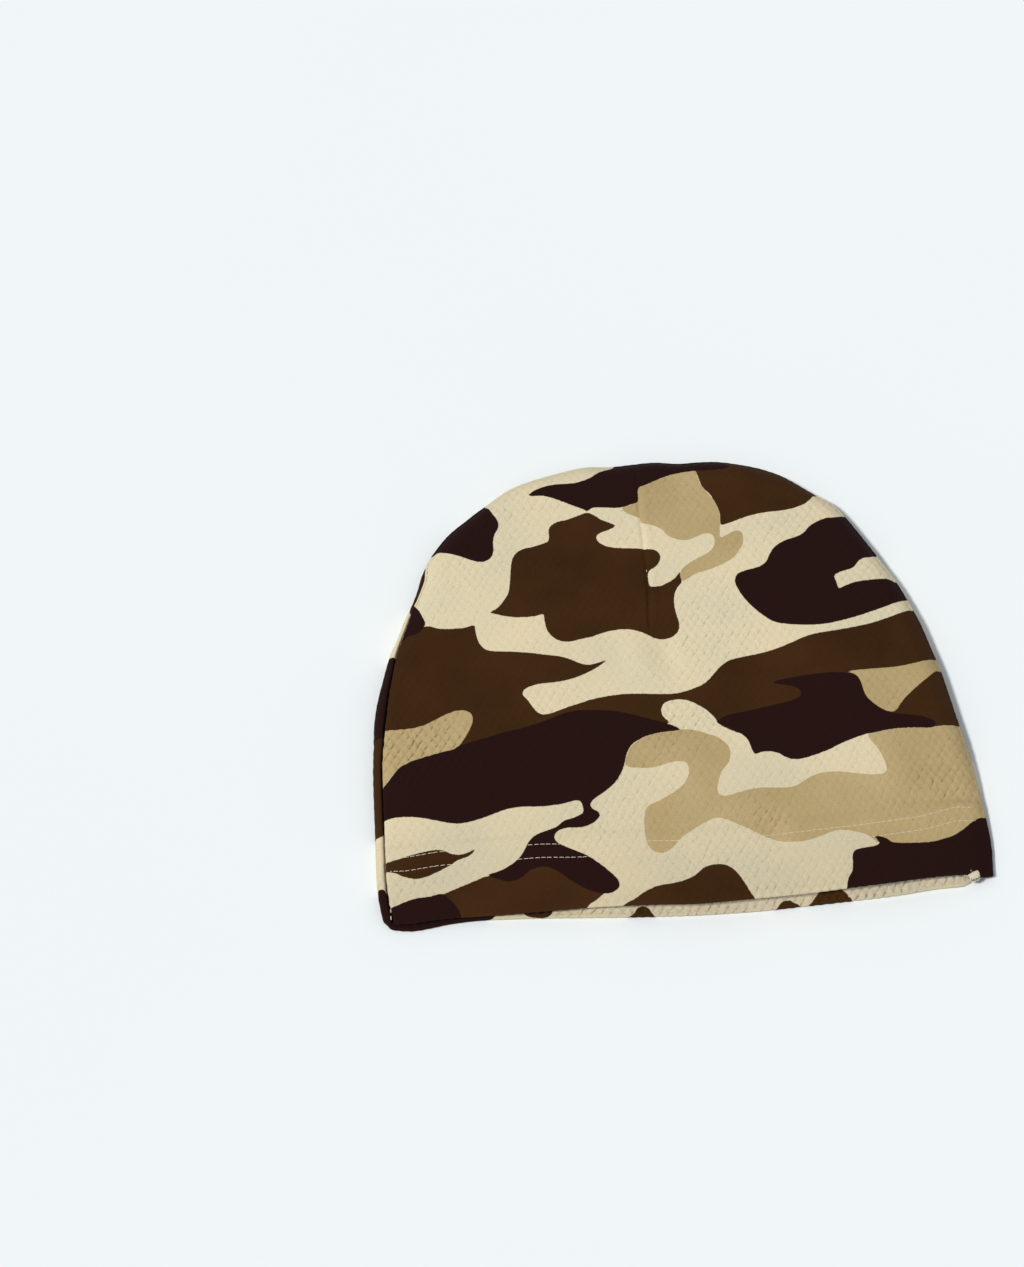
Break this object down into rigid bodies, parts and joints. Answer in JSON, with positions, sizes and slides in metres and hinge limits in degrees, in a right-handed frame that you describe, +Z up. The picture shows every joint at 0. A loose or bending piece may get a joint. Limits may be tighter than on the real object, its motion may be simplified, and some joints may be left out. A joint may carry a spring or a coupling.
{
  "type": "camo skull cap",
  "caption": "Pull-on skull cap of textured stretch knit with a brown and tan blotch print, lying flat, with crown darts and a coverstitched hem.",
  "frame": {"origin": "on the table under the middle of the cap's box, with the cap lying on its back panel", "axes": "+X across the cap to the wearer's left as seen from the front, +Y from the mouth to the crown, +Z up through the front panel"},
  "size_m": [0.2498, 0.2144, 0.0159],
  "materials": {
    "front_cloth": "textured stretch knit, printed in cream, tan, brown and near-black blotches",
    "back_cloth": "the same printed knit, with other blotches",
    "thread": "ecru polyester sewing thread"
  },
  "bodies": {
    "root": {"front_panel": "front_cloth", "back_panel": "back_cloth", "front_dart_fold": "front_cloth", "back_dart_fold": "back_cloth", "front_dart_thread": "thread", "back_dart_thread": "thread", "seam_needle_thread": "thread", "seam_overlock_thread": "thread", "front_hem_needle_thread_upper": "thread", "front_hem_needle_thread_lower": "thread", "front_hem_looper_thread": "thread", "back_hem_needle_thread_upper": "thread", "back_hem_needle_thread_lower": "thread", "back_hem_looper_thread": "thread", "left_hem_tack": "thread", "right_hem_tack": "thread"}
  },
  "joints": []
}
